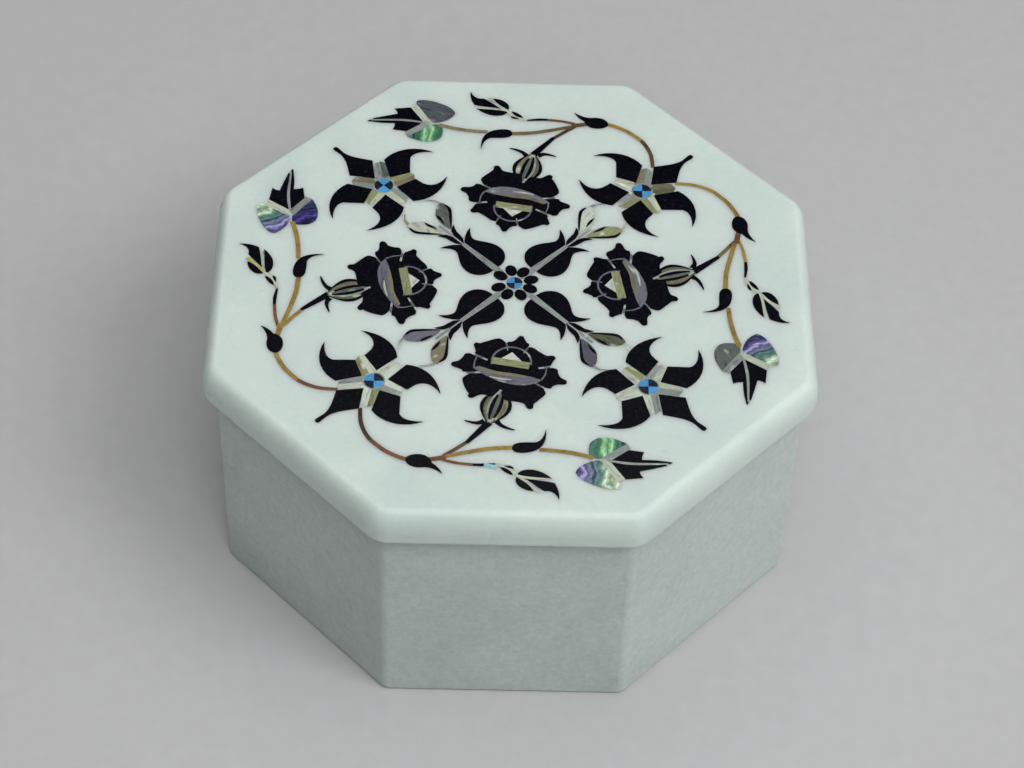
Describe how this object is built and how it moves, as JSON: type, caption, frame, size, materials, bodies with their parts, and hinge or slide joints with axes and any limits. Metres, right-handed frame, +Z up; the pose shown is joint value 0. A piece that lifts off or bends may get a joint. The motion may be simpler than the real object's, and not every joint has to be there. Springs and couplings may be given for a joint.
{
  "type": "marble jewelry box",
  "caption": "Octagonal white marble box, hollow, with a lift-off slab lid inlaid with dark stone and shell flowers.",
  "frame": {"origin": "centre of the underside of the box", "axes": "+Z up, +Y to the back, +X to the right, each axis square to a flat side"},
  "size_m": [0.1016, 0.1016, 0.05],
  "materials": {
    "marble": "polished white marble with a faint cool grey cast",
    "dark_stone": "polished near-black stone, slightly blue",
    "turquoise": "polished blue turquoise and black quarters",
    "shell": "polished shell in grey, olive and cream",
    "jasper": "polished ochre to brown stone"
  },
  "bodies": {
    "root": {"centre_disc": "turquoise", "flower_front_right_disc": "turquoise", "flower_front_right_petal_1": "dark_stone", "flower_front_right_petal_2": "dark_stone", "flower_front_right_petal_3": "dark_stone", "flower_front_right_petal_4": "dark_stone", "flower_front_right_petal_5": "dark_stone", "heart_front_right_left": "dark_stone", "heart_front_right_right": "dark_stone", "calyx_front_right": "shell", "flower_back_right_disc": "turquoise", "flower_back_right_petal_1": "dark_stone", "flower_back_right_petal_2": "dark_stone", "flower_back_right_petal_3": "dark_stone", "flower_back_right_petal_4": "dark_stone", "flower_back_right_petal_5": "dark_stone", "heart_back_right_left": "dark_stone", "heart_back_right_right": "dark_stone", "calyx_back_right": "shell", "flower_back_left_disc": "turquoise", "flower_back_left_petal_1": "dark_stone", "flower_back_left_petal_2": "dark_stone", "flower_back_left_petal_3": "dark_stone", "flower_back_left_petal_4": "dark_stone", "flower_back_left_petal_5": "dark_stone", "heart_back_left_left": "dark_stone", "heart_back_left_right": "dark_stone", "calyx_back_left": "shell", "flower_front_left_disc": "turquoise", "flower_front_left_petal_1": "dark_stone", "flower_front_left_petal_2": "dark_stone", "flower_front_left_petal_3": "dark_stone", "flower_front_left_petal_4": "dark_stone", "flower_front_left_petal_5": "dark_stone", "heart_front_left_left": "dark_stone", "heart_front_left_right": "dark_stone", "calyx_front_left": "shell", "rose_right": "dark_stone", "bud_right": "shell", "vine_right": "jasper", "big_leaf_right": "dark_stone", "bud_leaf_right": "dark_stone", "rose_back": "dark_stone", "bud_back": "shell", "vine_back": "jasper", "big_leaf_back": "dark_stone", "bud_leaf_back": "dark_stone", "rose_left": "dark_stone", "bud_left": "shell", "vine_left": "jasper", "big_leaf_left": "dark_stone", "bud_leaf_left": "dark_stone", "rose_front": "dark_stone", "bud_front": "shell", "vine_front": "jasper", "big_leaf_front": "dark_stone", "bud_leaf_front": "dark_stone", "box": "marble", "lid": "marble"}
  },
  "joints": []
}
